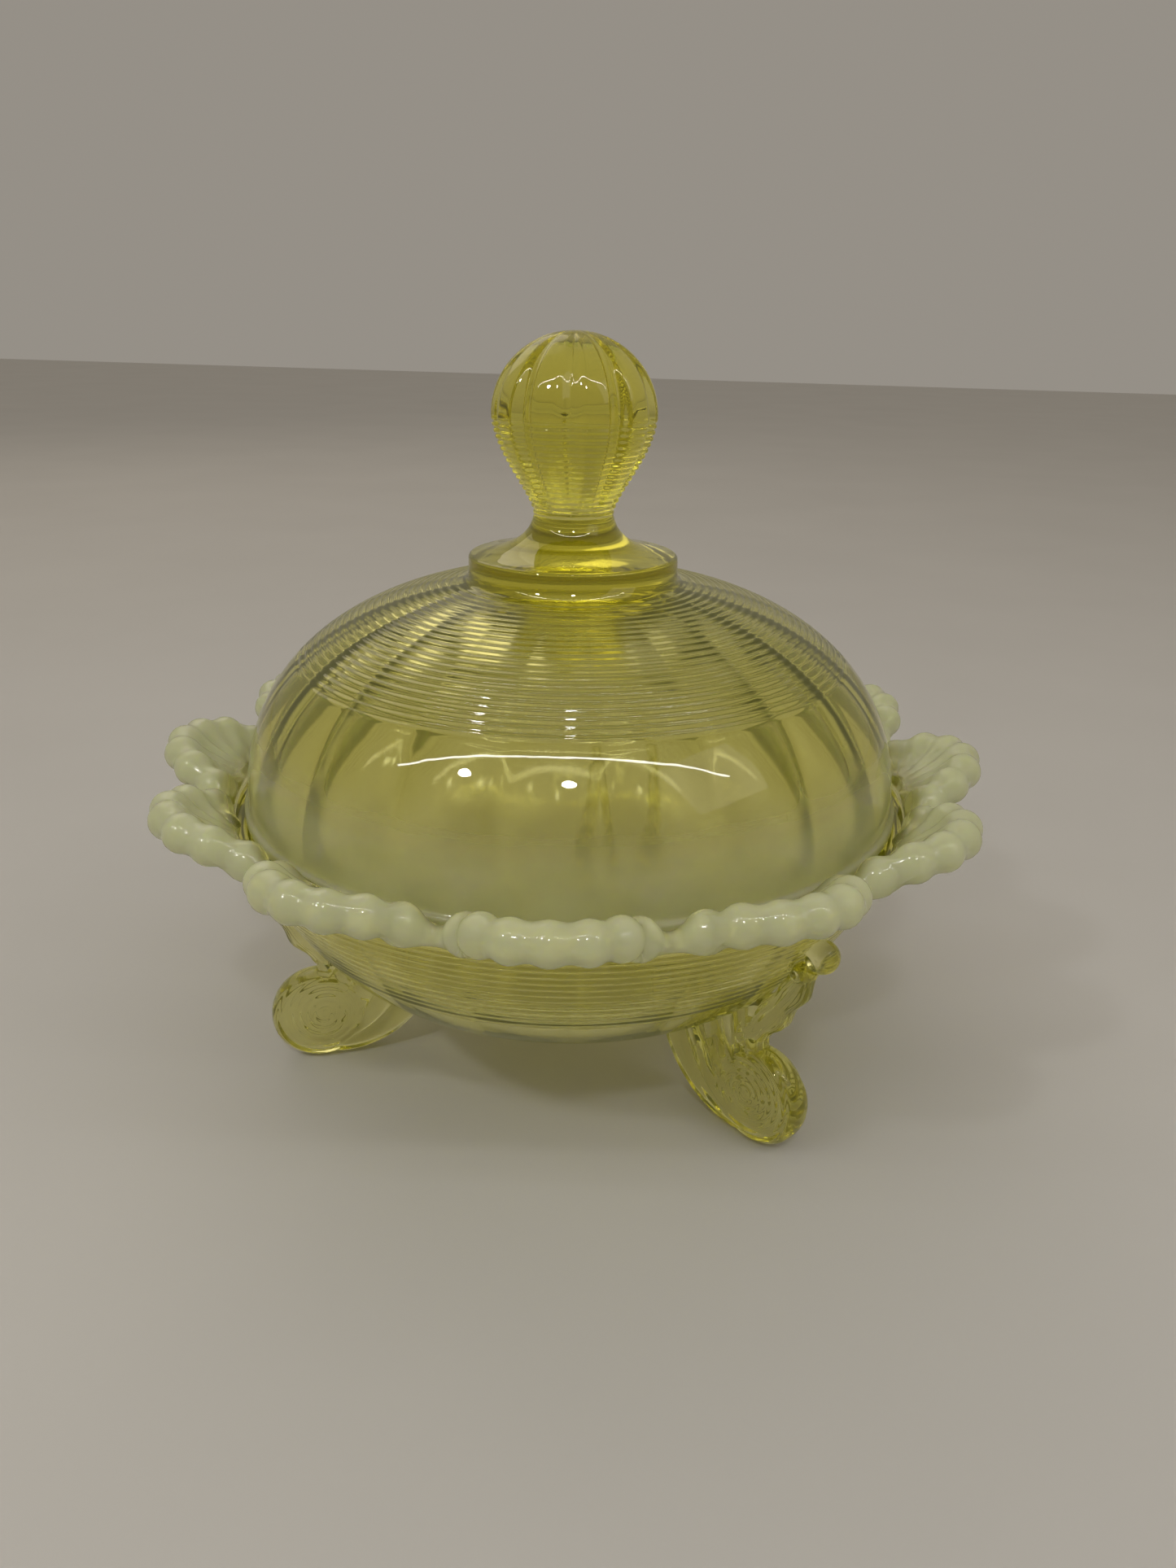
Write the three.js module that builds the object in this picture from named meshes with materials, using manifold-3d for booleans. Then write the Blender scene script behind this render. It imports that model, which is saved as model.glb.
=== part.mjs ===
// A covered dish of pressed uranium glass: a footed bowl with a rim of twelve shell
// petals, and a domed lid with a solid ball knob. The dish is one pressed piece with
// its rim and three scroll feet, and the lid is the other. Millimetres, +Z up, origin
// on the table under the middle of the dish.
import * as THREE from "three";
import { mergeVertices } from "three/addons/utils/BufferGeometryUtils.js";
import Module from "manifold-3d";

const wasm = await Module();
wasm.setup();

const { PI, cos, sin, sqrt, max } = Math;

// Lid
const LID_RADIUS = 72;            // outside radius of the lid's lower edge
const LID_EDGE_HEIGHT = 3;        // straight band above the lower edge
const LID_EDGE_STEP = 1;          // how far the band stands proud of the dome
const LID_EDGE_CHAMFER = 0.6;
const DOME_HEIGHT = 46.2;         // outside, above the band
const DOME_SIDE_POWER = 2.43;     // above 2, so that the sides stand up straighter
const DOME_TOP_POWER = 2.16;
const LID_WALL = 4;
const LID_PANELS = 20;            // shallow upright hollows moulded inside the dome
const LID_PANEL_DEPTH = 0.7;
const SHOULDER_GAP = 1;           // dome stops this far outside the collar

// Knob, on a collar that stands on the dome
const COLLAR_RADIUS = 22.2;
const COLLAR_HEIGHT = 5.1;
const COLLAR_ROUND = 1.1;
const COLLAR_SINK = 1;            // collar's foot below the dome's top
const FLARE_START = 0.6;          // flare's lower pull, as a share of the collar's radius
const FLARE_RISE = 1.2;
const FLARE_OUT = 1;              // flare's upper pull, outside the neck
const FLARE_DROP = 4.6;
const NECK_RADIUS = 8.4;
const NECK_HEIGHT = 12;           // neck's narrowest place above the dome's top
const KNOB_RADIUS = 17;
const KNOB_BELLY = 20;            // widest place above the neck
const KNOB_LOW_PULL = 0.2;        // shares of that height, for the curve from neck to belly
const KNOB_HIGH_PULL = 0.38;
const KNOB_CROWN = 16.2;          // top above the widest place

// Bowl
const SEAT_HEIGHT = 62.7;         // ledge that the lid stands on, above the table
const LID_CLEARANCE = 0.3;        // under the lid's edge
const LID_SIDE_GAP = 2.5;         // around the lid's edge
const SEAT_WIDTH = 5.5;           // ledge inside the lid's outside edge
const LIP_HEIGHT = 1.6;           // from the ledge to the root of the petals
const RIM_WALL = 1.5;             // bowl's outside beyond the lip, just under the petals
const BOWL_DEPTH = 32.2;          // ledge to the inside bottom
const BOWL_FLOOR = 4;
const BOWL_BASE_RADIUS = 46;      // flat underside
const BOWL_WALL = 3;              // base radius to inside base radius
const BELLY_LOW = 0.47;           // outside curve's pulls, as shares from base to lip
const BELLY_LOW_RISE = 2;
const BELLY_HIGH = 0.75;
const BELLY_HIGH_DROP = 17.5;
const RIM_DROP = 0.7;             // curve's end below the ledge
const INSIDE_LOW = 0.5;           // inside curve's lower pull, as a share from base to ledge
const INSIDE_LOW_RISE = 1;
const INSIDE_HIGH_INSET = 3;
const INSIDE_HIGH_DROP = 18;

// Petals
const PETALS = 12;
const PETAL_TILT = 0.38;          // rise for each millimetre outward
const PETAL_NOTCH = 4;            // how far the rim reaches past the lip between petals
const PETAL_OVERLAP = 1.012;      // fans are this much wider than their spacing
const BEAD_RADIUS = 3.9;          // rolled edge of the petals
const BEAD_START = -2.2;          // radians round the bead, from under it to over it
const BEAD_END = 2.57;
const PETAL_THICKNESS = 4;
const FAN_INSET = 1.8;            // middle of each fan, inside the lip

// Feet
const FEET = 3;
const FOOT_THICKNESS = 8;
const FOOT_BEVEL = 0.9;
const VOLUTE_RADIUS = 11;         // big scroll that the dish stands on
const VOLUTE_PLACE = 59.7;        // scroll's middle from the dish's middle
const PAD_LENGTH = 8.7;           // flat on the table, inward from under the scroll
const HEEL_INSET = 16;            // strap's inner edge, inside the bowl's base radius
const STRAP_DROP = 14.5;          // strap's upper pull, below the bowl's underside
const STRAP_PULL = 9;             // strap's lower pull, inward from the pad
const SCROLL_START = 8;           // upper scroll's foot above the volute
const SCROLL_STAND_OFF = 6.4;     // upper scroll's back outside the bowl
const SCROLL_STEPS = 4;
const CURL_RADIUS = 3.4;          // ball at the end of the upper scroll
const CURL_DROP = 13.8;           // its middle below the ledge
const SMALL_CURL_RADIUS = 2.6;
const SMALL_CURL_DROP = 18.4;
const CURL_STAND_OUT = 0.7;       // share of a curl's radius that its middle is off the bowl
const BITE = 1.2;                 // how deep the feet run into the bowl's glass

// Facets
const DISH_SIDES = 96;
const LID_SIDES = 60;
const CURVE_STEPS = 6;
const DOME_STEPS = 14;
const HOLLOW_STEPS = 10;
const BURIED_STEPS = 12;
const VOLUTE_STEPS = 14;
const CURL_SIDES = 14;
const CURL_RINGS = 10;
const SEARCH_STEPS = 200;         // along the bowl's side, to find its radius at a height
const JOIN_DISTANCE = 1e-4;

// Looks in the preview
const DISH_COLOUR = 0xa3a463;
const LID_COLOUR = 0xa9a34a;
const GLASS_ROUGHNESS = 0.05;
const GLASS_OPACITY = 0.6;

const point = (radius, height) => new THREE.Vector2(radius, height);
const bezier = (start, a, b, end) => new THREE.CubicBezierCurve(start, a, b, end);

const seatInner = LID_RADIUS - SEAT_WIDTH;
const lipRadius = LID_RADIUS + LID_SIDE_GAP;
const bowlInside = SEAT_HEIGHT - BOWL_DEPTH;
const bowlUnder = bowlInside - BOWL_FLOOR;
const lidBottom = SEAT_HEIGHT + LID_CLEARANCE;
const domeFoot = lidBottom + LID_EDGE_HEIGHT;
const domeRadius = LID_RADIUS - LID_EDGE_STEP;

// A solid from a closed geometry: corners that coincide are joined, and the slivers
// that this leaves where a profile meets the axis are dropped.
function toSolid(geometry) {
  geometry.deleteAttribute("normal");
  geometry.deleteAttribute("uv");
  const merged = mergeVertices(geometry, JOIN_DISTANCE);
  const corners = merged.index.array;
  const triangles = [];
  for (let i = 0; i < corners.length; i += 3) {
    const [a, b, c] = corners.slice(i, i + 3);
    if (a !== b && b !== c && c !== a) triangles.push(a, b, c);
  }
  return new wasm.Manifold(new wasm.Mesh({
    numProp: 3,
    vertProperties: merged.attributes.position.array,
    triVerts: new Uint32Array(triangles),
  }));
}

function toGeometry(solid) {
  const mesh = solid.getMesh();
  const geometry = new THREE.BufferGeometry();
  const position = new THREE.BufferAttribute(new Float32Array(mesh.vertProperties), 3);
  geometry.setAttribute("position", position);
  geometry.setIndex(new THREE.BufferAttribute(new Uint32Array(mesh.triVerts), 1));
  geometry.computeVertexNormals();
  return geometry;
}

// Turns a profile about +Z. Angles run from -Y towards +X, and shape gives each
// profile point its place at each angle.
function turned(profile, sides, shape) {
  const geometry = new THREE.LatheGeometry(profile, sides);
  const position = geometry.attributes.position;
  for (let i = 0; i < position.count; i += 1) {
    const angle = (2 * PI * Math.floor(i / profile.length)) / sides;
    const place = shape(profile[i % profile.length], angle);
    position.setXYZ(i, place.x * sin(angle), place.y, place.x * cos(angle));
  }
  geometry.rotateX(PI / 2);
  return toSolid(geometry);
}

// A quarter of a superellipse, from its widest place up to the axis.
function domeCurve(radius, height, foot, steps) {
  const points = [];
  for (let i = 0; i <= steps; i += 1) {
    const turn = (PI / 2) * (i / steps);
    const out = radius * max(cos(turn), 0) ** (2 / DOME_SIDE_POWER);
    points.push(point(out, foot + height * sin(turn) ** (2 / DOME_TOP_POWER)));
  }
  return points;
}

function knobOutline(domeTop) {
  const collarFoot = domeTop - COLLAR_SINK;
  const collarTop = collarFoot + COLLAR_HEIGHT;
  const neck = domeTop + NECK_HEIGHT;
  const belly = neck + KNOB_BELLY;
  const flare = bezier(
    point(COLLAR_RADIUS - COLLAR_ROUND, collarTop),
    point(COLLAR_RADIUS * FLARE_START, collarTop + FLARE_RISE),
    point(NECK_RADIUS + FLARE_OUT, neck - FLARE_DROP),
    point(NECK_RADIUS, neck),
  );
  const under = bezier(
    point(NECK_RADIUS, neck),
    point(NECK_RADIUS, neck + KNOB_BELLY * KNOB_LOW_PULL),
    point(KNOB_RADIUS, belly - KNOB_BELLY * KNOB_HIGH_PULL),
    point(KNOB_RADIUS, belly),
  );
  const crown = new THREE.EllipseCurve(0, belly, KNOB_RADIUS, KNOB_CROWN, 0, PI / 2);
  return [
    point(COLLAR_RADIUS, collarFoot),
    point(COLLAR_RADIUS, collarTop - COLLAR_ROUND),
    ...flare.getPoints(CURVE_STEPS),
    ...under.getPoints(CURVE_STEPS).slice(1),
    ...crown.getPoints(CURVE_STEPS).slice(1),
  ];
}

// Both outlines stop on the axis, and the knob's column is solid down to the dome.
function lid() {
  const domeTop = domeFoot + DOME_HEIGHT;
  const outside = domeCurve(domeRadius, DOME_HEIGHT, domeFoot, DOME_STEPS);
  const hollowRadius = domeRadius - LID_WALL;
  const inside = domeCurve(hollowRadius, DOME_HEIGHT - LID_WALL, domeFoot, HOLLOW_STEPS);
  const shoulder = outside.filter((place) => place.x > COLLAR_RADIUS + SHOULDER_GAP);
  const edge = [
    point(LID_RADIUS - LID_EDGE_CHAMFER, lidBottom),
    point(LID_RADIUS, lidBottom + LID_EDGE_CHAMFER),
    point(LID_RADIUS, domeFoot - LID_EDGE_STEP),
  ];
  const hollow = [point(hollowRadius, lidBottom), ...inside];
  hollow.forEach((place) => { place.inside = true; });
  const profile = [...hollow.reverse(), ...edge, ...shoulder, ...knobOutline(domeTop)];
  return turned(profile, LID_SIDES, (place, angle) => {
    if (!place.inside) return place;
    const hollowing = LID_PANEL_DEPTH * sin((LID_PANELS * angle) / 2) ** 2;
    return point(place.x * (1 + hollowing / domeRadius), place.y);
  });
}

const bowlWidening = lipRadius - BOWL_BASE_RADIUS;
const bowlSide = bezier(
  point(BOWL_BASE_RADIUS, bowlUnder),
  point(BOWL_BASE_RADIUS + bowlWidening * BELLY_LOW, bowlUnder + BELLY_LOW_RISE),
  point(BOWL_BASE_RADIUS + bowlWidening * BELLY_HIGH, SEAT_HEIGHT - BELLY_HIGH_DROP),
  point(lipRadius + RIM_WALL, SEAT_HEIGHT - RIM_DROP),
);

const petalRoot = point(lipRadius, SEAT_HEIGHT + LIP_HEIGHT);
const petalCentre = lipRadius - FAN_INSET;
const petalReach = petalCentre * sin(PI / PETALS) * PETAL_OVERLAP;
const petalTip = petalCentre + petalReach;

// The rim is a row of round fans: how far it reaches at an angle from a fan's middle.
function rimRadius(angle) {
  const across = petalCentre * sin(angle);
  const along = sqrt(max(petalReach ** 2 - across ** 2, 0));
  return max(petalCentre * cos(angle) + along, petalRoot.x + PETAL_NOTCH);
}

// Outline of a petal through its middle, from the bowl's side round the rolled edge
// and back to the lip.
function petalOutline() {
  const beadPlace = petalTip - BEAD_RADIUS;
  const beadHeight = petalRoot.y + (beadPlace - petalRoot.x) * PETAL_TILT + BEAD_RADIUS / 2;
  const bead = new THREE.EllipseCurve(
    beadPlace, beadHeight, BEAD_RADIUS, BEAD_RADIUS, BEAD_START, BEAD_END,
  );
  const half = (petalRoot.x + beadPlace) / 2;
  const rise = (half - petalRoot.x) * PETAL_TILT;
  return [
    point(half, petalRoot.y + rise - PETAL_THICKNESS / 2),
    ...bead.getPoints(CURVE_STEPS),
    point(half, petalRoot.y + rise + PETAL_THICKNESS / 2),
  ];
}

function bowl() {
  const inside = bezier(
    point(BOWL_BASE_RADIUS - BOWL_WALL, bowlInside),
    point(
      BOWL_BASE_RADIUS + (seatInner - BOWL_BASE_RADIUS) * INSIDE_LOW,
      bowlInside + INSIDE_LOW_RISE,
    ),
    point(seatInner - INSIDE_HIGH_INSET, SEAT_HEIGHT - INSIDE_HIGH_DROP),
    point(seatInner, SEAT_HEIGHT),
  );
  const petal = petalOutline();
  petal.forEach((place) => { place.petal = true; });
  const profile = [
    point(0, bowlUnder),
    ...bowlSide.getPoints(CURVE_STEPS),
    ...petal,
    petalRoot,
    point(lipRadius, SEAT_HEIGHT),
    ...inside.getPoints(CURVE_STEPS).reverse(),
    point(0, bowlInside),
  ];
  const spacing = (2 * PI) / PETALS;
  return turned(profile, DISH_SIDES, (place, angle) => {
    if (!place.petal) return place;
    const offset = (angle % spacing) - spacing / 2;
    const share = (rimRadius(offset) - petalRoot.x) / (petalTip - petalRoot.x);
    return place.clone().sub(petalRoot).multiplyScalar(share).add(petalRoot);
  });
}

// Where the bowl's outside is at a height, found along its curve. Below the bowl it is
// the base's radius.
function bowlRadiusAt(height) {
  const [base, ...side] = bowlSide.getPoints(SEARCH_STEPS);
  const near = side.filter((place) => place.y <= height);
  return [base, ...near].at(-1).x;
}

// Outline of a foot in the upright plane through the dish's axis: a strap that sweeps
// down to a flat pad, the big scroll, then the upper scroll's back up to its curl, and
// back down inside the bowl's glass.
function footOutline() {
  const curlHeight = SEAT_HEIGHT - CURL_DROP;
  const strapPlace = BOWL_BASE_RADIUS - HEEL_INSET;
  const padPlace = VOLUTE_PLACE - PAD_LENGTH;
  const scrollFoot = 2 * VOLUTE_RADIUS + SCROLL_START;
  const scrollRise = curlHeight - CURL_RADIUS - scrollFoot;
  const buried = bowlSide.getPoints(BURIED_STEPS).filter((place) => place.y < curlHeight);
  const outline = new THREE.Shape();
  outline.moveTo(strapPlace, bowlUnder + BITE);
  outline.bezierCurveTo(
    strapPlace, bowlUnder - STRAP_DROP,
    padPlace - STRAP_PULL, 0,
    padPlace, 0,
  );
  outline.lineTo(VOLUTE_PLACE, 0);
  outline.absarc(VOLUTE_PLACE, VOLUTE_RADIUS, VOLUTE_RADIUS, -PI / 2, PI / 2, false);
  for (let i = 0; i <= SCROLL_STEPS; i += 1) {
    const height = scrollFoot + (scrollRise * i) / SCROLL_STEPS;
    outline.lineTo(bowlRadiusAt(height) + SCROLL_STAND_OFF, height);
  }
  outline.lineTo(bowlRadiusAt(curlHeight) + CURL_RADIUS, curlHeight);
  buried.reverse().forEach((place) => outline.lineTo(place.x - BITE, place.y + BITE));
  return outline;
}

function curl(radius, height) {
  const place = bowlRadiusAt(height) + radius * CURL_STAND_OUT;
  const geometry = new THREE.SphereGeometry(radius, CURL_SIDES, CURL_RINGS);
  return toSolid(geometry.translate(place, 0, height));
}

function foot(angle) {
  const geometry = new THREE.ExtrudeGeometry(footOutline(), {
    depth: FOOT_THICKNESS - 2 * FOOT_BEVEL,
    curveSegments: VOLUTE_STEPS,
    bevelThickness: FOOT_BEVEL,
    bevelSize: FOOT_BEVEL,
    bevelOffset: -FOOT_BEVEL,
    bevelSegments: 1,
  });
  geometry.translate(0, 0, FOOT_BEVEL - FOOT_THICKNESS / 2).rotateX(PI / 2);
  const body = toSolid(geometry)
    .add(curl(CURL_RADIUS, SEAT_HEIGHT - CURL_DROP))
    .add(curl(SMALL_CURL_RADIUS, SEAT_HEIGHT - SMALL_CURL_DROP));
  return body.rotate([0, 0, THREE.MathUtils.radToDeg(angle) - 90]);
}

function dish() {
  let solid = bowl();
  for (let i = 0; i < FEET; i += 1) {
    solid = solid.add(foot((2 * PI * (i + 0.5)) / FEET));
  }
  return solid;
}

function glassPiece(name, solid, colour) {
  const material = new THREE.MeshStandardMaterial({
    color: colour,
    roughness: GLASS_ROUGHNESS,
    metalness: 0,
    transparent: true,
    opacity: GLASS_OPACITY,
  });
  const mesh = new THREE.Mesh(toGeometry(solid), material);
  mesh.name = name;
  return mesh;
}

const coveredDish = new THREE.Group();
coveredDish.name = "covered_dish";
coveredDish.add(glassPiece("dish", dish(), DISH_COLOUR));
coveredDish.add(glassPiece("lid", lid(), LID_COLOUR));

export default coveredDish;
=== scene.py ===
# %% [markdown]
# # A covered dish of pressed uranium glass
#
# The real dish is two pieces of yellow-green glass. The lower one is a bowl with a rim of
# twelve shell petals and three scroll feet, and the upper one is a dome with a ball knob.
# Each was pressed in an iron mould, then reheated, and the reheating turned the thin
# petal edges milky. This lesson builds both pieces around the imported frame, which fixes
# their place and their size.
#
# The frame comes first, because every length below is measured from it.

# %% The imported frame
import math

import bpy
import numpy as np
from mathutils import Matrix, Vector


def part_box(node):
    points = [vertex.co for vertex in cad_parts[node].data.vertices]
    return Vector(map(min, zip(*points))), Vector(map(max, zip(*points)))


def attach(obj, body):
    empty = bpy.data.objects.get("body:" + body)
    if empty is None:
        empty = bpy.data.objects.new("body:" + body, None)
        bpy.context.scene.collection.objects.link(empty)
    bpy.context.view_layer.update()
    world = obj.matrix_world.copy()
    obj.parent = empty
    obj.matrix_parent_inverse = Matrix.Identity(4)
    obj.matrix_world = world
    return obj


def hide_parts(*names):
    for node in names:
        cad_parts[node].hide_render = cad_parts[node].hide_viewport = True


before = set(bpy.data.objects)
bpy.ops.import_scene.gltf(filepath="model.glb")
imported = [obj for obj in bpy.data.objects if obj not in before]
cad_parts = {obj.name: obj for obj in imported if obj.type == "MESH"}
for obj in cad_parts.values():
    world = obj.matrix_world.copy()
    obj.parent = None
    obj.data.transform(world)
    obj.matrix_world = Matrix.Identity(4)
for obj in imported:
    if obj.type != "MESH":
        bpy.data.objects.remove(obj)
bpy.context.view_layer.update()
MM = 0.001
dish_low, dish_high = [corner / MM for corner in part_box("dish")]
lid_low, lid_high = [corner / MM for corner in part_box("lid")]
print("dish, mm:", [round(length, 1) for length in dish_high - dish_low])
print("lid, mm:", [round(length, 1) for length in lid_high - lid_low])

# %% [markdown]
# ## Camera
#
# A telephone's main camera is close to a 27 mm lens on full-frame film. It stands about a
# hand's length in front of the petals and looks down on the dome, so the perspective is
# strong: the front petals look much larger than the back ones. The place is given from the
# middle of the dish, in front and a little to the right of the front notch.

# %% Camera
LENS_MM = 27.03
SENSOR_MM = 36
CAMERA_BACK = 250.4      # from the dish's axis, level
CAMERA_ASIDE = 3.9
CAMERA_HEIGHT = 163.8
CAMERA_TURN = 16.2       # degrees round the dish from the front
CAMERA_DIP = 21.86       # degrees below level
CAMERA_ROLL = 0.9
CLIP_START = 10

camera = bpy.data.objects.new("camera", bpy.data.cameras.new("camera"))
bpy.context.scene.collection.objects.link(camera)
turn = math.radians(CAMERA_TURN)
camera.location = Vector((
    CAMERA_ASIDE * math.cos(turn) + CAMERA_BACK * math.sin(turn),
    CAMERA_ASIDE * math.sin(turn) - CAMERA_BACK * math.cos(turn),
    CAMERA_HEIGHT,
)) * MM
camera.rotation_mode = "XYZ"
camera.rotation_euler = (math.radians(90 - CAMERA_DIP), 0, turn)
camera.rotation_euler.rotate_axis("Z", math.radians(CAMERA_ROLL))
camera.data.lens = LENS_MM
camera.data.sensor_width = SENSOR_MM
camera.data.clip_start = CLIP_START * MM
camera.data.dof.use_dof = False
bpy.context.scene.camera = camera
print("camera at", [round(x, 3) for x in camera.location])

# %% [markdown]
# ## Helpers for nodes and colours
#
# Every material below is a few shader nodes. One function adds a node, sets it and links
# it, so a material reads as a list. Colours are written as sRGB hex, as a picker shows
# them, and turned to linear light, which the shader works in.

# %% Helpers for nodes and colours
def linear(hex_colour):
    parts = [int(hex_colour[i:i + 2], 16) / 255 for i in (1, 3, 5)]
    light = [p / 12.92 if p <= 0.04045 else ((p + 0.055) / 1.055) ** 2.4 for p in parts]
    return (*light, 1.0)


def add_node(tree, kind, settings=None, inputs=None):
    """Adds a node; an input's value is a number, a colour, or an output socket to link."""
    node = tree.nodes.new(kind)
    for name, value in (settings or {}).items():
        setattr(node, name, value)
    for name, value in (inputs or {}).items():
        if isinstance(value, bpy.types.NodeSocket):
            tree.links.new(value, node.inputs[name])
        else:
            node.inputs[name].default_value = value
    return node


def new_material(name):
    material = bpy.data.materials.new(name)
    material.use_nodes = True
    material.node_tree.nodes.clear()
    return material, material.node_tree


print("pale stone in linear light:", [round(c, 3) for c in linear("#c9c5be")[:3]])

# %% [markdown]
# ## Floor and light
#
# Glass shows mostly what surrounds it, so the room is part of its finish. The floor is a
# plain pale matt board. Most of the light is an even pale room. A large soft box behind and
# to the left, a weaker one on the right and a very soft sun give it a direction. A long
# narrow strip overhead draws the thin bright line across the dome, and two small round lamps
# in front make its bright dots.

# %% Floor
FLOOR_HALF_WIDTH = 3.0           # metres
FLOOR_COLOURS = ("#cac7c1", "#d2cfc9")
FLOOR_MOTTLE = 9                 # patches for each metre
FLOOR_ROUGHNESS = 0.75


def add_floor(half_width):
    data = bpy.data.meshes.new("floor")
    corners = [(-1, -1), (1, -1), (1, 1), (-1, 1)]
    data.from_pydata([(x * half_width, y * half_width, 0) for x, y in corners], [], [(0, 1, 2, 3)])
    board = bpy.data.objects.new("floor", data)
    bpy.context.scene.collection.objects.link(board)
    material, tree = new_material("matt painted board")
    place = add_node(tree, "ShaderNodeTexCoord").outputs["Object"]
    mottle = add_node(tree, "ShaderNodeTexNoise", inputs={
        "Vector": place, "Scale": FLOOR_MOTTLE, "Detail": 3,
    })
    dark, pale = FLOOR_COLOURS
    tone = add_node(tree, "ShaderNodeMix", {"data_type": "RGBA"}, {
        "Factor": mottle.outputs["Fac"], "A": linear(dark), "B": linear(pale),
    })
    paint = add_node(tree, "ShaderNodeBsdfPrincipled", inputs={
        "Base Color": tone.outputs["Result"], "Roughness": FLOOR_ROUGHNESS,
    })
    add_node(tree, "ShaderNodeOutputMaterial", inputs={"Surface": paint.outputs["BSDF"]})
    data.materials.append(material)
    return board


floor = add_floor(FLOOR_HALF_WIDTH)
print("floor is", floor.dimensions.x, "m wide")

# %% Lights
ROOM_COLOUR, ROOM_STRENGTH = "#d6cec2", 0.45
AIM = Vector((0, 0, 0.08))       # metres: the middle of the object
FLAT_LIGHTS = {                  # place and size in metres, and power in watts
    "back_box": ((-0.75, 0.75, 0.95), (0.9, 0.7), 1.4, "#fff3e2", "RECTANGLE"),
    "side_box": ((0.95, -0.25, 0.8), (0.6, 0.6), 0.8, "#fff8f0", "RECTANGLE"),
    "strip": ((0.1, -0.42, 0.85), (2.0, 0.02), 2.2, "#ffffff", "RECTANGLE"),
    "left_lamp": ((-0.33, -0.64, 0.76), (0.07, 0.07), 0.85, "#ffffff", "ELLIPSE"),
    "right_lamp": ((0.2, -0.68, 0.8), (0.07, 0.07), 0.85, "#ffffff", "ELLIPSE"),
}
SUN_COLOUR, SUN_STRENGTH = "#fff6ee", 0.1
SUN_WIDTH = 45                   # degrees
SUN_DIRECTION = Vector((0.35, -0.6, -1.0))


def add_light(name, kind, strength, colour, direction):
    data = bpy.data.lights.new(name, kind)
    data.energy = strength
    data.color = linear(colour)[:3]
    light = bpy.data.objects.new(name, data)
    bpy.context.scene.collection.objects.link(light)
    light.rotation_euler = direction.to_track_quat("-Z", "Y").to_euler()
    return light


world = bpy.data.worlds.new("soft studio")
world.use_nodes = True
background = world.node_tree.nodes["Background"]
background.inputs["Color"].default_value = linear(ROOM_COLOUR)
background.inputs["Strength"].default_value = ROOM_STRENGTH
bpy.context.scene.world = world
for name, (place, size, watts, colour, shape) in FLAT_LIGHTS.items():
    light = add_light(name, "AREA", watts, colour, AIM - Vector(place))
    light.location = place
    light.data.shape = shape
    light.data.size, light.data.size_y = size
sun = add_light("sun", "SUN", SUN_STRENGTH, SUN_COLOUR, SUN_DIRECTION)
sun.data.angle = math.radians(SUN_WIDTH)
bpy.context.scene.view_settings.view_transform = "Standard"

# %% [markdown]
# ## Pressed uranium glass
#
# Soda-lime glass with a trace of uranium oxide is clear, bends light with an index near
# 1.52, and soaks up blue, so a thin wall is pale straw and the solid knob is deep
# olive-yellow. That change with thickness can't be painted on: it comes from an absorbing
# volume, whose strength is set for each millimetre of path. The surface was fire-polished
# after pressing, which leaves it glossy with a faint long ripple. Only the inside of the
# lid keeps the plunger's slight satin, which softens what is seen through it. The glass also
# glows a very little, and this glow is painted light: a constant green emission that stands
# in for the uranium's faint fluorescence and lifts the dark parts of the glass.
#
# Reheating turned the petals' beads milky. Where the glass is milky, light scatters
# instead of passing, so the same shader goes from transmission to a scattering body by a
# mask of height and distance from the axis. One glass, one shader, and no seam between.

# %% Uranium glass
GLASS_IOR = 1.52
TINT_COLOUR = "#faf6a0"          # what is left of white light after TINT_DEPTH of glass
TINT_DEPTH = 20.0                # mm
GLOSS = 0.02                     # roughness of a fire-polished surface
SATIN = 0.10                     # roughness that the plunger leaves inside the lid
MILK_DULLING = 0.14              # how much rougher the surface is where the glass is milky
RIPPLE_SIZE = 7.0                # mm from crest to crest of the fire polish
RIPPLE_HEIGHT = 0.05             # mm
SURFACE_COLOUR = "#f0eec6"       # what the surface itself lets through
MILK_COLOUR = "#ced2ad"
MILK_SCATTER = (0.9, 1.0, 0.6)   # red, green and blue shares of the depth below
MILK_DEPTH = 4.0                 # mm that light wanders in the milky glass
CLOUD_SIZE = 9.0                 # mm across the milk's uneven patches
CLOUD_RANGE = (0.75, 1.1)
PAINTED_GLOW_COLOUR = "#e9ec46"          # painted glow: a constant emission for the faint green fluorescence that also lifts dark glass
PAINTED_GLOW_STRENGTH = 0.010


def absorption_of(colour, depth_mm):
    """Absorption colour and density, so that colour is left after that depth of glass."""
    left = np.clip(np.array(linear(colour)[:3]), 1e-3, 0.999)
    soaked = -np.log(left) / (depth_mm * MM)
    density = float(soaked.max()) * 1.05
    return (*(1 - soaked / density), 1.0), density


def between(tree, value, low, high):
    """0 below low, 1 above high and a smooth step between, in mm of the object."""
    return add_node(tree, "ShaderNodeMapRange", {"interpolation_type": "SMOOTHSTEP"}, {
        "Value": value, "From Min": low * MM, "From Max": high * MM,
    }).outputs["Result"]


def combine(tree, operation, a, b):
    node = add_node(tree, "ShaderNodeMath", {"operation": operation})
    for socket, value in zip(node.inputs, (a, b)):
        if isinstance(value, bpy.types.NodeSocket):
            tree.links.new(value, socket)
        else:
            socket.default_value = value
    return node.outputs["Value"]


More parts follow.
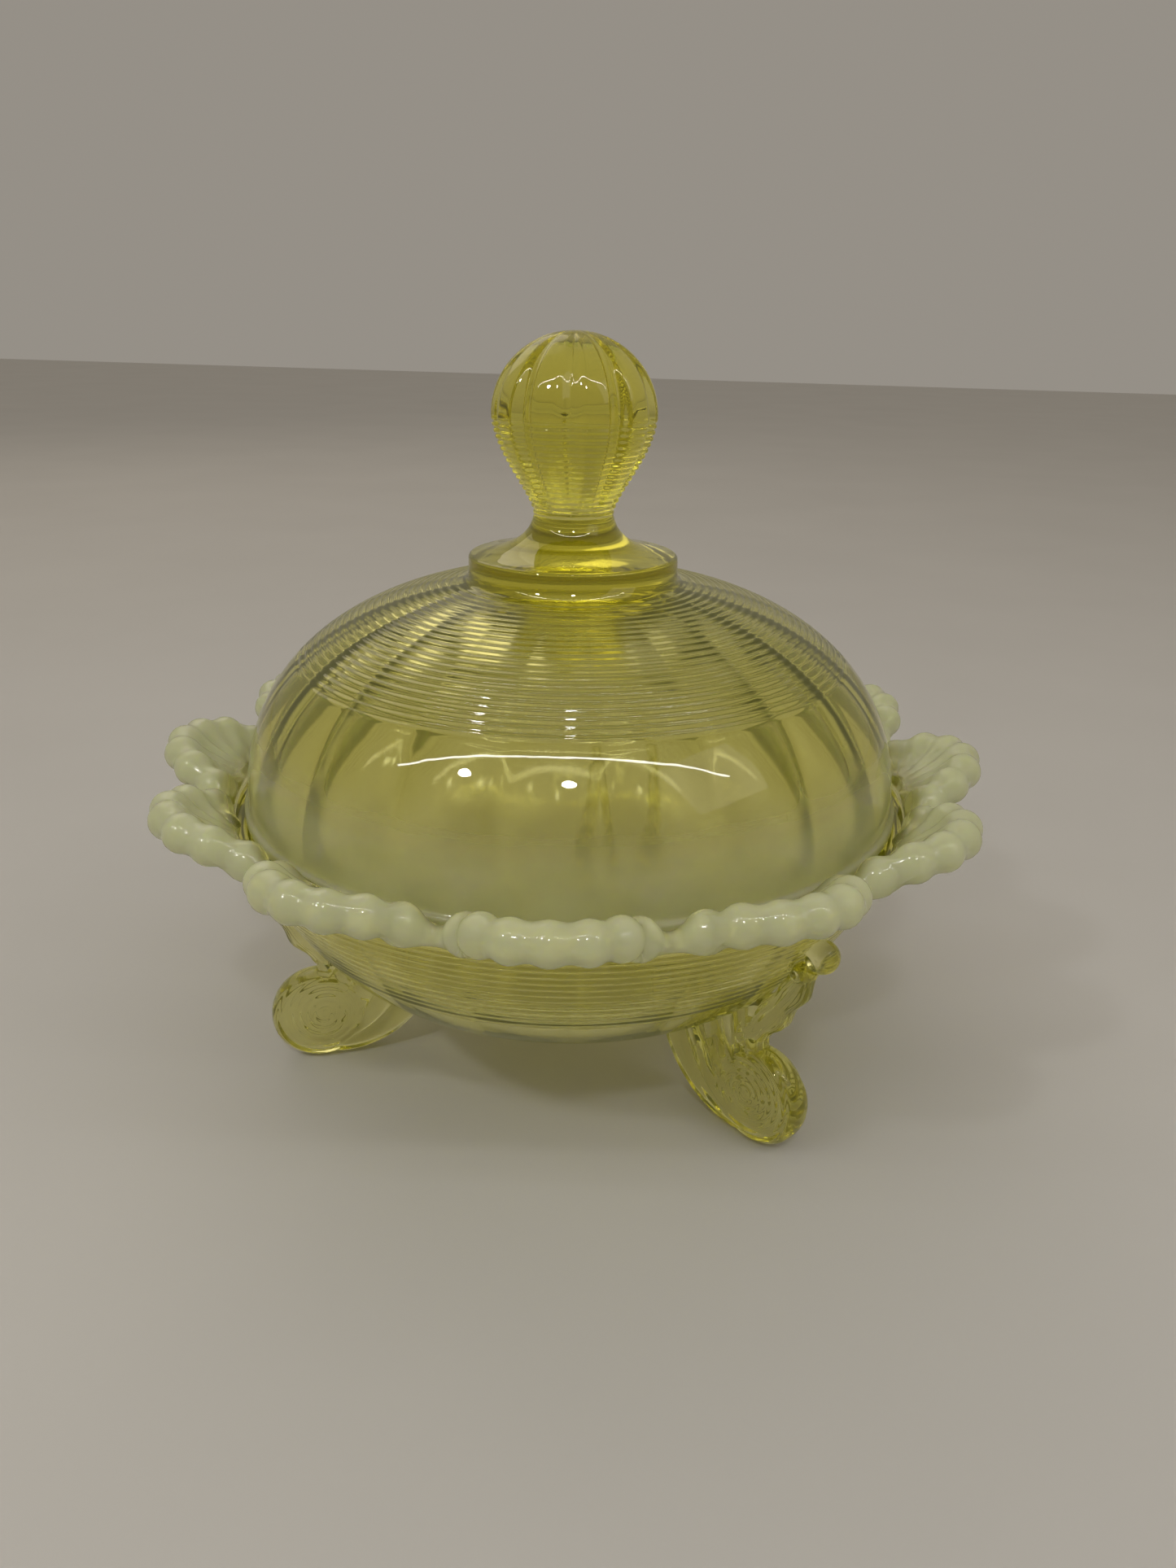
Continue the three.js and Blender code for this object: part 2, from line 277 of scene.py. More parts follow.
def uranium_glass(name, milk_mask, gloss_mask=None):
    """Both masks take tree, height and radius. The first gives the socket that is 1 where
    the glass is milky, and the second, where there is one, gives the roughness."""
    material, tree = new_material(name)
    place = add_node(tree, "ShaderNodeTexCoord").outputs["Object"]
    parts = add_node(tree, "ShaderNodeSeparateXYZ", inputs={"Vector": place})
    level = add_node(tree, "ShaderNodeCombineXYZ", inputs={
        "X": parts.outputs["X"], "Y": parts.outputs["Y"],
    })
    radius = add_node(tree, "ShaderNodeVectorMath", {"operation": "LENGTH"}, {
        "Vector": level.outputs["Vector"],
    }).outputs["Value"]
    cloud = add_node(tree, "ShaderNodeTexNoise", inputs={
        "Vector": place, "Scale": 1 / (CLOUD_SIZE * MM), "Detail": 2,
    })
    uneven = add_node(tree, "ShaderNodeMapRange", inputs={
        "Value": cloud.outputs["Fac"], "To Min": CLOUD_RANGE[0], "To Max": CLOUD_RANGE[1],
    })
    milk = milk_mask(tree, parts.outputs["Z"], radius)
    milk = combine(tree, "MULTIPLY", milk, uneven.outputs["Result"])
    gloss = gloss_mask(tree, parts.outputs["Z"], radius) if gloss_mask else GLOSS
    colour = add_node(tree, "ShaderNodeMix", {"data_type": "RGBA"}, {
        "Factor": milk, "A": linear(SURFACE_COLOUR), "B": linear(MILK_COLOUR),
    })
    ripple = add_node(tree, "ShaderNodeTexNoise", inputs={
        "Vector": place, "Scale": 1 / (RIPPLE_SIZE * MM), "Detail": 1,
    })
    bump = add_node(tree, "ShaderNodeBump", inputs={
        "Height": ripple.outputs["Fac"], "Distance": RIPPLE_HEIGHT * MM, "Strength": 1.0,
    })
    glass = add_node(tree, "ShaderNodeBsdfPrincipled", inputs={
        "Base Color": colour.outputs["Result"],
        "Roughness": combine(tree, "ADD", gloss, combine(tree, "MULTIPLY", milk, MILK_DULLING)),
        "IOR": GLASS_IOR,
        "Transmission Weight": combine(tree, "SUBTRACT", 1.0, milk),
        "Subsurface Weight": 1.0,
        "Subsurface Radius": MILK_SCATTER,
        "Subsurface Scale": MILK_DEPTH * MM,
        "Normal": bump.outputs["Normal"],
        # painted glow: this emission shines whatever the lamps do and lifts the glass's dark parts
        "Emission Color": linear(PAINTED_GLOW_COLOUR),
        "Emission Strength": PAINTED_GLOW_STRENGTH,
    })
    soak_colour, density = absorption_of(TINT_COLOUR, TINT_DEPTH)
    soak = add_node(tree, "ShaderNodeVolumeAbsorption", inputs={
        "Color": soak_colour, "Density": density,
    })
    add_node(tree, "ShaderNodeOutputMaterial", inputs={
        "Surface": glass.outputs["BSDF"], "Volume": soak.outputs["Volume"],
    })
    return material


print("absorption:", absorption_of(TINT_COLOUR, TINT_DEPTH))

# %% [markdown]
# The masks need a few heights and distances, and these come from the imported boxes. The milk
# is strongest outside the lip and just above the seat, and the lid has a little of it near
# its edge. Inside and outside of the dome share their heights, so the satin is told by how
# far out a place is, as a share of the dome's outline.

# %% Where the glass is milky or satin
LID_GAP = 0.3                    # mm under the lid's edge
LID_SIDE_GAP = 2.5               # mm around it
LID_BAND = 3.0                   # straight band above the lid's edge
LID_STEP = 1.0                   # how far the band stands out from the dome
DOME_POWERS = (2.43, 2.16)       # above 2, so that the sides stand up straighter
NECK_RISE, KNOB_BELLY, KNOB_CROWN = 12.0, 20.0, 16.2
PETAL_MILK, LID_MILK = 0.8, 0.5
LID_MILK_HEIGHT = 24             # mm above the lid's edge where the milk has gone
WALL_SHARES = (0.92, 0.96)       # places in the dome's wall, between inside and outside

SEAT = lid_low.z - LID_GAP       # ledge that the lid stands on
LIP_RADIUS = lid_high.x + LID_SIDE_GAP
knob_top = lid_high.z
belly = knob_top - KNOB_CROWN
neck = belly - KNOB_BELLY
dome_top = neck - NECK_RISE
dome_foot = lid_low.z + LID_BAND
dome_radius = lid_high.x - LID_STEP


def petal_milk(tree, height, radius):
    outward = between(tree, radius, LIP_RADIUS - 1.0, LIP_RADIUS + 5.5)
    above = between(tree, height, SEAT - 3.5, SEAT + 1)
    return combine(tree, "MULTIPLY", combine(tree, "MULTIPLY", outward, above), PETAL_MILK)


def skirt_milk(tree, height, radius):
    high = between(tree, height, lid_low.z + 1, lid_low.z + LID_MILK_HEIGHT)
    return combine(tree, "MULTIPLY", combine(tree, "SUBTRACT", 1.0, high), LID_MILK)


def lid_gloss(tree, height, radius):
    """Satin inside the dome: how far out a place is, with the dome's outside at 1."""
    high = combine(tree, "SUBTRACT", height, dome_foot * MM)
    share_up = combine(tree, "DIVIDE", high, (dome_top - dome_foot) * MM)
    share_out = combine(tree, "DIVIDE", radius, dome_radius * MM)
    up = combine(tree, "POWER", combine(tree, "MAXIMUM", share_up, 0.0), DOME_POWERS[1])
    out = combine(tree, "POWER", share_out, DOME_POWERS[0])
    return add_node(tree, "ShaderNodeMapRange", {"interpolation_type": "SMOOTHSTEP"}, {
        "Value": combine(tree, "ADD", up, out),
        "From Min": WALL_SHARES[0], "From Max": WALL_SHARES[1],
        "To Min": SATIN, "To Max": GLOSS,
    }).outputs["Result"]


dish_glass = uranium_glass("pressed uranium glass, struck milky at the rim", petal_milk)
lid_glass = uranium_glass("pressed uranium glass, faintly struck at the skirt", skirt_milk,
                          lid_gloss)
print("seat", round(SEAT, 2), "mm, lip", round(LIP_RADIUS, 2), "mm from the axis")

# %% [markdown]
# ## Outlines and skins
#
# A pressed bowl or lid is nearly a turned shape, so it could be a Screw modifier.
# The flutes and petals change it round the axis, so each piece is made here as a stack of
# closed rings instead: one function joins the rings into a closed skin, whatever they look
# like. The same function makes the scrolls of the feet, whose rings run along a curve.

# %% Outlines and skins
def bezier(start, a, b, end, count=80):
    t = np.linspace(0, 1, count + 1)[:, None]
    corners = [np.array(corner, float) for corner in (start, a, b, end)]
    weights = [(1 - t) ** 3, 3 * t * (1 - t) ** 2, 3 * t ** 2 * (1 - t), t ** 3]
    return sum(weight * corner for weight, corner in zip(weights, corners))


def run_along(outline):
    steps = np.linalg.norm(np.diff(outline, axis=0), axis=1)
    return np.concatenate([[0], np.cumsum(steps)])


def evenly(outline, spacing):
    """The same outline, with points an even spacing apart."""
    run = run_along(outline)
    places = np.linspace(0, run[-1], max(int(round(run[-1] / spacing)), 2) + 1)
    return np.stack([np.interp(places, run, column) for column in outline.T], axis=1)


def superellipse(radius, height, foot, side_power, top_power, count=200):
    angle = np.linspace(0, np.pi / 2, count + 1)
    out = radius * np.clip(np.cos(angle), 0, None) ** (2 / side_power)
    return np.stack([out, foot + height * np.sin(angle) ** (2 / top_power)], axis=1)


def skin(name, rings, material):
    """A closed mesh from rings of points in mm, shaped (rings, points, 3)."""
    count, around = rings.shape[:2]
    ends = [rings[0].mean(axis=0), rings[-1].mean(axis=0)]
    points = np.concatenate([rings.reshape(-1, 3), ends])
    here = np.arange(around)
    after = (here + 1) % around
    start = np.arange(count - 1)[:, None] * around
    upper = start + around
    quads = np.stack([start + here, start + after, upper + after, upper + here], axis=-1)
    quads = quads.reshape(-1, 4)
    last = (count - 1) * around
    first_cap = np.stack([after, here, np.full(around, count * around)], axis=-1)
    last_cap = np.stack([last + here, last + after, np.full(around, count * around + 1)], axis=-1)
    faces = quads.tolist() + first_cap.tolist() + last_cap.tolist()
    a, b, c, d = np.moveaxis(points[quads], 1, 0)
    inside_out = (a * (np.cross(b, c) + np.cross(c, d))).sum() < 0
    if inside_out:
        faces = [face[::-1] for face in faces]
    data = bpy.data.meshes.new(name)
    data.from_pydata((points * MM).tolist(), [], faces)
    data.materials.append(material)
    piece = bpy.data.objects.new(name, data)
    bpy.context.scene.collection.objects.link(piece)
    return piece


def rings_round(radius, height, azimuth):
    """Rings about the axis. Azimuth 0 is the front (-Y) and grows towards +X."""
    place = [radius * np.sin(azimuth), -radius * np.cos(azimuth), height + 0 * azimuth]
    return np.stack(place, axis=-1)


def smooth_step(value, low, high):
    t = np.clip((value - low) / (high - low), 0, 1)
    return t * t * (3 - 2 * t)


print("bezier check:", bezier((0, 0), (0, 1), (1, 1), (1, 0), 2)[1])

# %% [markdown]
# ## Ring threads
#
# Fine rounded threads run round the outside of the dome, the bowl and the knob, like the
# grooves of a record. They could be a bump texture, but then the outline would stay smooth
# and nothing would bend the light seen through them. Here the outline itself carries them:
# it is sampled five times for each thread and pushed in along its normal at each groove.
# The threads are 1.3 to 2 mm apart. Their depths, 0.3 to 0.4 mm, are a guess.

# %% Ring threads
POINTS_PER_THREAD = 5


def threaded(outline, pitch, depth):
    """Cuts grooves to the left of the way that the outline runs."""
    points = evenly(outline, pitch / POINTS_PER_THREAD)
    along = np.gradient(points, axis=0)
    along /= np.linalg.norm(along, axis=1)[:, None]
    left = np.stack([-along[:, 1], along[:, 0]], axis=1)
    turns = run_along(points) / pitch
    ends = np.clip(np.minimum(turns, turns[-1] - turns), 0, 1)
    groove = (0.5 + 0.5 * np.cos(2 * np.pi * turns)) ** 2 * ends
    return points + left * (depth * groove)[:, None]


print("threads on a 20 mm line:", len(threaded(np.array([[0, 0], [20.0, 0]]), 2, 0.3)), "points")

# %% [markdown]
# ## The lid
#
# The lid is a dome with a wall of about 4 mm, moulded inside in twenty shallow upright
# hollows that meet in sharp ribs. A round collar sits on top, and the solid knob stands on
# it: ten rounded lobes, and fine threads from its belly down to the neck. All of it is one
# outline that starts on the axis inside the dome and ends on the knob's top.

# %% The lid's outline
LID_WALL = 4.0
LID_PANELS = 20
LID_PANEL_DEPTH = 1.7
LID_RIB_HEIGHT = 0.3             # ribs stand in from the plain wall
LID_PANEL_TURN = 5.4             # degrees: the lid can stand at any turn on its seat
DOME_THREADS = (23.5, 60.0)      # radius where the threads begin and end
DOME_THREAD_PITCH, DOME_THREAD_DEPTH = 1.8, 0.3
COLLAR_RADIUS = 22.2
COLLAR_RISE = 4.1
COLLAR_ROUND = 1.1
NECK_RADIUS = 8.4
KNOB_RADIUS = 17.0
KNOB_LOBES = 10
KNOB_LOBE_DEPTH = 1.6
KNOB_LOBE_TURN = 14.5            # degrees
KNOB_THREAD_PITCH, KNOB_THREAD_DEPTH = 1.3, 0.42
SMOOTH_STEP_LENGTH = 2.0         # mm between points where the outline is smooth
AXIS_GAP = 0.02                  # mm: an outline's end on the axis, just off it


def lid_hollow():
    dome = superellipse(dome_radius - LID_WALL, dome_top - dome_foot - LID_WALL, dome_foot,
                        *DOME_POWERS)
    dome[-1, 0] = AXIS_GAP
    wall = np.array([[dome_radius - LID_WALL, lid_low.z + 0.4]])
    return evenly(np.concatenate([wall, dome]), SMOOTH_STEP_LENGTH)[::-1]


def lid_edge():
    inner, outer, low = dome_radius - LID_WALL, lid_high.x, lid_low.z
    corner = bezier((outer - 0.7, low), (outer - 0.2, low),
                    (outer, low + 0.2), (outer, low + 0.7), 4)
    shoulder = bezier((outer, dome_foot - 1.4), (outer, dome_foot - 0.6),
                      (dome_radius, dome_foot - 0.8), (dome_radius, dome_foot - 0.1), 5)
    flat = np.array([[inner + 0.4, low], [(inner + outer) / 2, low]])
    return np.concatenate([flat, corner, shoulder])


def dome_outside():
    dome = superellipse(dome_radius, dome_top - dome_foot, dome_foot, *DOME_POWERS)
    start, end = DOME_THREADS
    plain = dome[(dome[:, 0] > end) & (dome[:, 1] > dome_foot)]
    ribbed = dome[(dome[:, 0] <= end) & (dome[:, 0] >= start)]
    threads = threaded(ribbed, DOME_THREAD_PITCH, DOME_THREAD_DEPTH)
    return np.concatenate([evenly(plain, SMOOTH_STEP_LENGTH)[:-1], threads])


def collar_and_neck():
    low = dome_top - 1.0
    top = low + COLLAR_RISE + 1.0
    side = [(COLLAR_RADIUS, low), (COLLAR_RADIUS, top - COLLAR_ROUND)]
    rounding = bezier(side[-1], (COLLAR_RADIUS, top - 0.3), (COLLAR_RADIUS - 0.4, top),
                      (COLLAR_RADIUS - COLLAR_ROUND, top), 6)
    flare = bezier((COLLAR_RADIUS - COLLAR_ROUND, top), (COLLAR_RADIUS * 0.6, top + 1.2),
                   (NECK_RADIUS + 1, neck - 4.6), (NECK_RADIUS, neck))
    return np.concatenate([side[:1], rounding, evenly(flare, 1.2)[1:]])


def knob_outside():
    under = bezier((NECK_RADIUS, neck), (NECK_RADIUS, neck + KNOB_BELLY * 0.2),
                   (KNOB_RADIUS, belly - KNOB_BELLY * 0.38), (KNOB_RADIUS, belly))
    angle = np.linspace(0, np.pi / 2, 120)
    out = KNOB_RADIUS * np.cos(angle) + AXIS_GAP
    crown = np.stack([out, belly + KNOB_CROWN * np.sin(angle)], axis=1)
    crown[-1, 1] = knob_top
    threads = threaded(under, KNOB_THREAD_PITCH, KNOB_THREAD_DEPTH)
    return threads[1:], evenly(crown, KNOB_THREAD_PITCH)[1:]


lid_stretches = [lid_hollow(), lid_edge(), dome_outside(), collar_and_neck(), *knob_outside()]
lid_outline = np.concatenate(lid_stretches)
print("points in the lid's stretches:", [len(stretch) for stretch in lid_stretches])

# %% [markdown]
# The hollows and the knob's lobes are shallow and follow the outline, so they are a small
# change of radius round the axis. Where two hollows meet, the sharp turn of a sine without
# its sign gives the rib. The creases between the lobes are softened, as hot glass is.

# %% The lid
LID_SIDES = 300


def hollow_round(azimuth, count):
    """1 in the middle of each hollow and 0 on the sharp rib between two."""
    return np.abs(np.sin(azimuth * count / 2))


def make_lid():
    azimuth = np.arange(LID_SIDES)[None, :] * 2 * np.pi / LID_SIDES
    radius, height = lid_outline[:, :1], lid_outline[:, 1:]
    order = np.arange(len(lid_outline))[:, None]
    inside = order < len(lid_stretches[0])
    turned = azimuth - math.radians(LID_PANEL_TURN)
    panel = hollow_round(turned, LID_PANELS)
    fade = smooth_step(height, lid_low.z + 1, lid_low.z + 9) * radius / dome_radius
    hollowed = radius + inside * (LID_PANEL_DEPTH * panel - LID_RIB_HEIGHT) * fade
    lobe = np.abs(np.sin((azimuth - math.radians(KNOB_LOBE_TURN)) * KNOB_LOBES / 2))
    groove = 1 - smooth_step(lobe, -0.15, 0.9)
    on_knob = smooth_step(height, neck, neck + 5) * radius / KNOB_RADIUS
    shaped = np.where(inside, hollowed, radius - KNOB_LOBE_DEPTH * groove * on_knob)
    return skin("lid_glass", rings_round(shaped, height, azimuth), lid_glass)


lid = make_lid()
lid.data.shade_smooth()
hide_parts("lid")
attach(lid, "lid")
print("lid:", len(lid.data.vertices), "points", len(lid.data.polygons), "faces")

# %% [markdown]
# ## The petals
#
# Each petal is a scallop shell: seven flutes fan out from the lip, get wider, and end in
# round beads. Modelled one by one and joined with booleans they would leave hard seams,
# but hot glass runs together softly. So the petal is described as a distance: seven
# tapered rods with a bead on each, blended with the ring that they grow from. Rays are
# then sent from the middle of the glass until that distance is zero, which gives a clean
# ring of points for every angle, ready to be a stretch of the dish's own outline.

# %% A petal as a distance
PETALS = 12
FLUTES = 7
BEAD_RADIUS = 3.85
BEAD_SPACING = math.radians(24.5)
BEAD_PLACE = 15.1                # from the fan's middle to the beads
ROD_START = 4.5                  # from the fan's middle to the rods' thin ends
ROD_RADIUS, ROD_GROWTH = 1.2, 2.1
BEAD_BLEND = 1.5                 # how softly a rod runs into its bead
FLUTE_BLENDS = (0.7, 1.9)        # between flutes: at the root, and what is added at the edge
FAN_MIDDLE = LIP_RADIUS - 1.8
PETAL_TILT = 0.38                # rise for each millimetre outward
RING_RADIUS, RING_THICKNESS = LIP_RADIUS + 2.1, 1.9
ROOT_HEIGHT = SEAT + 1.6


def middle_height(radius):
    rise = (radius - LIP_RADIUS) * PETAL_TILT
    return ROOT_HEIGHT + rise + BEAD_RADIUS / 2 * smooth_step(radius, LIP_RADIUS, LIP_RADIUS + 9)


def fan_point(angle, reach):
    x, y = reach * math.sin(angle), FAN_MIDDLE + reach * math.cos(angle)
    return np.array([x, y, middle_height(math.hypot(x, y))])


def blend(a, b, width):
    near = np.clip(0.5 + 0.5 * (b - a) / width, 0, 1)
    return b + (a - b) * near - width * near * (1 - near)


def flute_distance(points, angle):
    root, tip = fan_point(angle, ROD_START), fan_point(angle, BEAD_PLACE)
    axis = tip - root
    share = np.clip(((points - root) @ axis) / (axis @ axis), 0, 1)
    from_axis = np.linalg.norm(points - root - share[..., None] * axis, axis=-1)
    rod = from_axis - (ROD_RADIUS + ROD_GROWTH * share)
    bead = np.linalg.norm(points - tip, axis=-1) - BEAD_RADIUS
    return blend(rod, bead, BEAD_BLEND)


def petal_distance(radius, height, angle):
    points = np.stack([radius * np.sin(angle), radius * np.cos(angle), height], axis=-1)
    glass = np.hypot(radius - RING_RADIUS, height - ROOT_HEIGHT - 0.1) - RING_THICKNESS
    reach = np.hypot(points[..., 0], points[..., 1] - FAN_MIDDLE)
    softness = FLUTE_BLENDS[0] + FLUTE_BLENDS[1] * smooth_step(reach, 6, 14)
    for k in range(FLUTES):
        glass = blend(glass, flute_distance(points, (k - FLUTES // 2) * BEAD_SPACING), softness)
    return glass


bead_middle = FAN_MIDDLE + BEAD_PLACE
at_tip = petal_distance(np.array(bead_middle + BEAD_RADIUS), middle_height(bead_middle), 0.0)
print("distance at the middle bead's tip:", round(float(at_tip), 3), "mm")

# %% [markdown]
# The rays start on a line through the middle of the glass. They point down under the
# petal, fan round the bead at its edge, point up along the top, and fan inward at the lip.

# %% The rim's outline at every angle
DISH_SIDES = 600
CAST_STEPS, CAST_SHARE = 60, 0.8 # each step goes this share of the distance that is left


def cast(radius, height, direction, angle):
    """From inside the glass to its surface, by steps of the distance that is left."""
    travel = np.zeros(np.broadcast(radius, angle).shape)
    for _ in range(CAST_STEPS):
        gap = petal_distance(radius + travel * np.cos(direction),
                             height + travel * np.sin(direction), angle + 0 * travel)
        travel = travel - gap * CAST_SHARE
    return radius + travel * np.cos(direction), height + travel * np.sin(direction)


def rim_rings():
    steps = DISH_SIDES // PETALS
    angle = (np.arange(steps) / steps - 0.5)[None, :] * 2 * np.pi / PETALS
    trial = np.arange(RING_RADIUS - 0.5, dish_high.length, 0.05)[:, None]
    level = 0 * angle + 0 * trial
    within = petal_distance(trial + level, middle_height(trial) + level, angle + level) < 0
    outer = np.where(within, trial, 0).max(axis=0)[None, :]
    end = np.maximum(outer - 3.0, RING_RADIUS + (outer - RING_RADIUS) * 0.35)
    begin = RING_RADIUS - 0.3
    share = np.linspace(0, 1, 9)[:, None]
    line = begin + (end - begin) * share
    down, up = -np.pi / 2, np.pi / 2
    under = cast(line[:-1], middle_height(line[:-1]), down, angle)
    turning = np.linspace(down, up, 15)[:, None]
    tip = cast(end + 0 * turning, middle_height(end) + 0 * turning, turning, angle)
    top = cast(line[:-1][::-1], middle_height(line[:-1][::-1]), up, angle)
    inward = np.linspace(up, np.pi * 0.97, 7)[1:, None]
    level = 0 * inward * angle
    lip = cast(begin + level, middle_height(begin) + level, inward, angle)
    radius, height = [np.concatenate(parts) for parts in zip(under, tip, top, lip)]
    return np.tile(radius, (1, PETALS)), np.tile(height, (1, PETALS))


rim_radius, rim_height = rim_rings()
notches = rim_radius.max(axis=0).min()
print("rim reaches", round(float(rim_radius.max()), 2), "mm, and", round(float(notches), 2),
      "mm at the notches; top", round(float(rim_height.max()), 2), "mm")

# %% [markdown]
# ## The bowl
#
# Below the petals the outside carries coarse ring threads and then runs smooth to a flat
# base. The inside has twenty upright hollows, like the lid's, and a ledge at the top.
# The bowl is the same stack of rings as the lid, with the rim's rings set between its
# outside and its inside.

# %% The bowl
BASE_RADIUS = 46.0
BOWL_DEPTH = 32.2
BOWL_FLOOR = 4.0
BOWL_WALL = 3.0
SEAT_WIDTH = 5.5
BOWL_THREAD_PITCH, BOWL_THREAD_DEPTH = 2.05, 0.3
BOWL_THREADS_END = 39.0          # height where the threads stop
BOWL_PANELS = 20
BOWL_PANEL_DEPTH = 0.5
inside_floor = SEAT - BOWL_DEPTH
underside = inside_floor - BOWL_FLOOR
widening = LIP_RADIUS - BASE_RADIUS
bowl_side = bezier(
    (BASE_RADIUS, underside), (BASE_RADIUS + widening * 0.47, underside + 2),
    (BASE_RADIUS + widening * 0.75, SEAT - 17.5), (LIP_RADIUS + 1.5, SEAT - 0.7),
)


def bowl_outside():
    base = np.array([[AXIS_GAP, underside], [15, underside], [30, underside]])
    smooth = bowl_side[bowl_side[:, 1] < BOWL_THREADS_END]
    ribbed = bowl_side[bowl_side[:, 1] >= BOWL_THREADS_END]
    threads = threaded(ribbed, BOWL_THREAD_PITCH, BOWL_THREAD_DEPTH)
    return np.concatenate([base, evenly(smooth, SMOOTH_STEP_LENGTH)[:-1], threads])


def bowl_inside():
    seat_inner = lid_high.x - SEAT_WIDTH
    side = bezier(
        (BASE_RADIUS - BOWL_WALL, inside_floor),
        (BASE_RADIUS + (seat_inner - BASE_RADIUS) * 0.5, inside_floor + 1),
        (seat_inner - 3, SEAT - 18), (seat_inner, SEAT - 0.4),
    )
    ledge = np.array([[LIP_RADIUS, SEAT + 0.6], [LIP_RADIUS - 0.5, SEAT], [seat_inner + 0.5, SEAT]])
    floor_line = np.array([[30, inside_floor], [15, inside_floor], [AXIS_GAP, inside_floor]])
    return np.concatenate([ledge, evenly(side, SMOOTH_STEP_LENGTH)[::-1], floor_line])


def make_bowl():
    azimuth = np.arange(DISH_SIDES)[None, :] * 2 * np.pi / DISH_SIDES
    outside, inside = bowl_outside(), bowl_inside()
    panel = hollow_round(azimuth, BOWL_PANELS)
    below_seat = 1 - smooth_step(inside[:, 1:], SEAT - 7, SEAT - 1)
    fade = smooth_step(inside[:, :1], 20, 40) * below_seat
    inner = inside[:, :1] + BOWL_PANEL_DEPTH * panel * fade
    level = 0 * azimuth
    radius = np.concatenate([outside[:, :1] + level, rim_radius, inner])
    height = np.concatenate([outside[:, 1:] + level, rim_height, inside[:, 1:] + level])
    return skin("dish_glass", rings_round(radius, height, azimuth), dish_glass)


dish = make_bowl()
print("bowl:", len(dish.data.vertices), "points")

# %% [markdown]
# ## The scroll feet
#
# A foot is a scroll of glass. A strap leaves the bowl's base, sweeps down to the table and
# rolls up into a thick round volute, a drum with a spiral pressed into both faces. A fan of
# leaf flutes fills the corner between the strap and the bowl. Above the volute a second
# scroll climbs the bowl's side and ends in two small dimpled curls under a notch. Each is a
# stack of rings too, and a boolean union melts them into the bowl.

# %% Shapes in a foot's own plane
VOLUTE_RADIUS = 11.0
VOLUTE_PLACE = 59.7
VOLUTE_HALF = 3.9                # half of its thickness
DRUM_POWER = 12                  # how square the drum's edge is
SPIRAL_PITCH = 1.7
SPIRAL_DEPTH = 0.27
EYE_SHIFT = 1.0                  # spiral's eye is this far inward and up from the middle
FOOT_HALF = 3.8                  # half the thickness of the fan
LEAF_FLUTES = 5
LEAF_CUT = 0.78                  # share of the fan's thickness that a flute takes
CURL_PLACE, CURL_RADIUS, CURL_HALF = (71.8, SEAT - 13.8), 3.4, 3.6
SMALL_CURL_PLACE, SMALL_CURL_RADIUS, SMALL_CURL_HALF = (68.0, SEAT - 18.4), 2.6, 3.7


def volute():
    around = np.arange(120)[None, :] * 2 * np.pi / 120
    reach = VOLUTE_RADIUS * np.linspace(0.003, 1, 56)[:, None] ** 0.85
    drum = VOLUTE_HALF * (1.0001 - (reach / VOLUTE_RADIUS) ** DRUM_POWER) ** 0.5
    from_eye_x = reach * np.cos(around) + EYE_SHIFT
    from_eye_z = reach * np.sin(around) - EYE_SHIFT
    wound = np.hypot(from_eye_x, from_eye_z)
    turned = np.arctan2(from_eye_z, from_eye_x)
    fade = smooth_step(wound, 0.4, 2) * (1 - smooth_step(reach, 10.2, 10.9))
    groove = (0.5 + 0.5 * np.cos(2 * np.pi * wound / SPIRAL_PITCH - turned)) ** 1.1
    half = drum - SPIRAL_DEPTH * groove * fade
    x = VOLUTE_PLACE + reach * np.cos(around)
    z = VOLUTE_RADIUS + reach * np.sin(around)
    front = np.stack([x, -half, z], axis=-1)
    back = np.stack([x, half, z], axis=-1)[:-1][::-1]
    return np.concatenate([front, back])


def fan():
    """Rings across the foot, from inside the bowl's glass down into the volute."""
    strap = evenly(bezier((30.5, underside + 3), (31, 12), (41, 0.3), (55, 0.45)), 1.0)
    strap = np.concatenate([strap, [[58.0, 1.2]]])
    share = np.linspace(0, 1, len(strap))[:, None]
    neck_line = bezier((59.5, underside + 8), (59, 27), (59.6, 21), (61.5, 12), len(strap) - 1)
    loop = np.linspace(0, 2 * np.pi, 96, endpoint=False)[None, :]
    across = 0.5 - 0.5 * np.cos(loop)
    side = np.sign(np.sin(loop)) * np.abs(np.sin(loop)) ** 0.35
    leaf = np.clip(np.cos(2 * np.pi * (across * LEAF_FLUTES - 0.2)), 0, 1) ** 0.9
    band = smooth_step(across, 0.12, 0.2) * (1 - smooth_step(across, 0.86, 0.95))
    length = (1 - 0.7 * smooth_step(share, 0.35, 0.6)) * (1 - smooth_step(share, 0.75, 0.92))
    half = FOOT_HALF * side * (1 - LEAF_CUT * leaf * band * length)
    inward, outward = strap[:, None, :], neck_line[:, None, :]
    flat = inward * (1 - across[..., None]) + outward * across[..., None]
    return np.stack([flat[..., 0], half + 0 * flat[..., 0], flat[..., 1]], axis=-1)


def tube(spine, half_width, half_depth, ridges):
    """A rod along a curve in the foot's plane, with fine ridges along it."""
    along = np.gradient(spine, axis=0)
    along /= np.linalg.norm(along, axis=1)[:, None]
    loop = np.linspace(0, 2 * np.pi, 64, endpoint=False)[None, :]
    rim = 1 - 0.06 * (0.5 + 0.5 * np.cos(ridges * loop))
    sideways = half_width[:, None] * np.cos(loop) * rim
    x = spine[:, :1] - along[:, 1:] * sideways
    z = spine[:, 1:] + along[:, :1] * sideways
    return np.stack([x, half_depth[:, None] * np.sin(loop) * rim, z], axis=-1)


